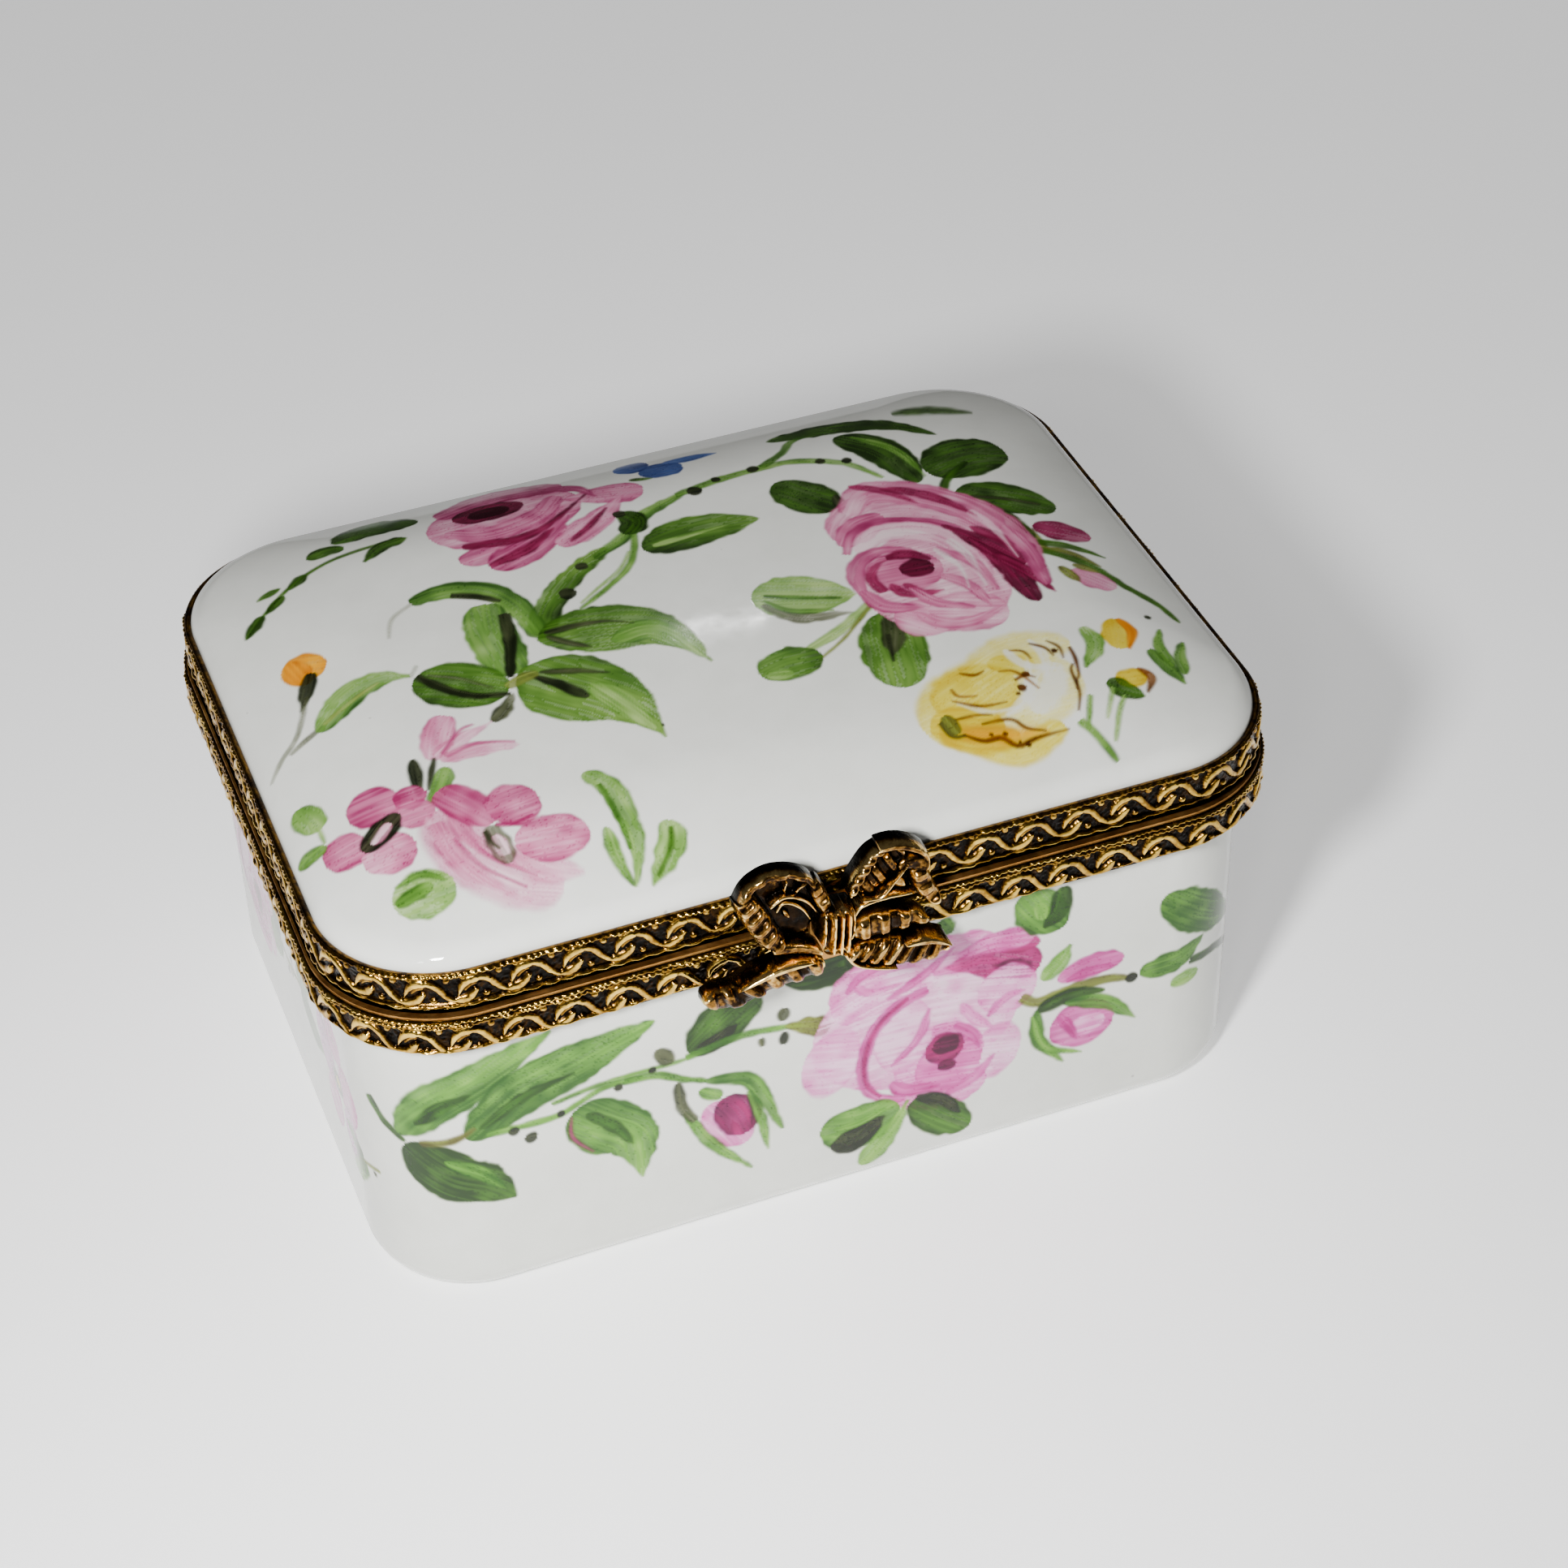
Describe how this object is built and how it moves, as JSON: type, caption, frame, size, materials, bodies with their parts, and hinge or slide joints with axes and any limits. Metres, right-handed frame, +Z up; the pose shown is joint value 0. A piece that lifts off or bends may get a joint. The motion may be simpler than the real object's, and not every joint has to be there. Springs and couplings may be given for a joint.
{
  "type": "hinged porcelain trinket box",
  "caption": "Rectangular porcelain trinket box with painted flowers, embossed gilt collars, a domed lid on a back hinge and a bow-shaped clasp.",
  "frame": {"origin": "bottom centre of the closed box, on the plane its foot rests on", "axes": "+Z up, -Y towards the bow clasp, +Y towards the hinge, +X to the right seen from the front"},
  "size_m": [0.06, 0.0506, 0.031],
  "materials": {
    "base_porcelain": "clear glaze over hand-painted flowers",
    "lid_porcelain": "clear glaze over hand-painted flowers",
    "plaster": "matte set plaster",
    "embossed_gilt": "aged gilt with dark patina in the relief",
    "plain_gilt": "aged gilt, worn smooth",
    "hinge_brass": "satin aged brass",
    "bow_gilt": "cast, gilt and darkened in the folds"
  },
  "bodies": {
    "base": {"porcelain_base": "base_porcelain", "base_cement": "plaster", "base_band": "embossed_gilt", "base_rim_plate": "plain_gilt", "catch_peg": "plain_gilt", "base_hinge_strip": "plain_gilt", "base_knuckle_left": "hinge_brass", "base_knuckle_middle": "hinge_brass", "base_knuckle_right": "hinge_brass", "hinge_pin": "hinge_brass"},
    "lid": {"porcelain_lid": "lid_porcelain", "lid_cement": "plaster", "lid_band": "embossed_gilt", "lid_rim_plate": "plain_gilt", "lid_hinge_strip": "plain_gilt", "lid_knuckle_left": "hinge_brass", "lid_knuckle_right": "hinge_brass", "clasp_tongue": "plain_gilt", "clasp_bow": "bow_gilt"}
  },
  "joints": [
    {"name": "lid_hinge", "type": "hinge", "parent": "base", "child": "lid", "pos_m": [0, 0.02395, 0.0244], "axis": [-1, 0, 0], "range_deg": [0, 100]}
  ]
}
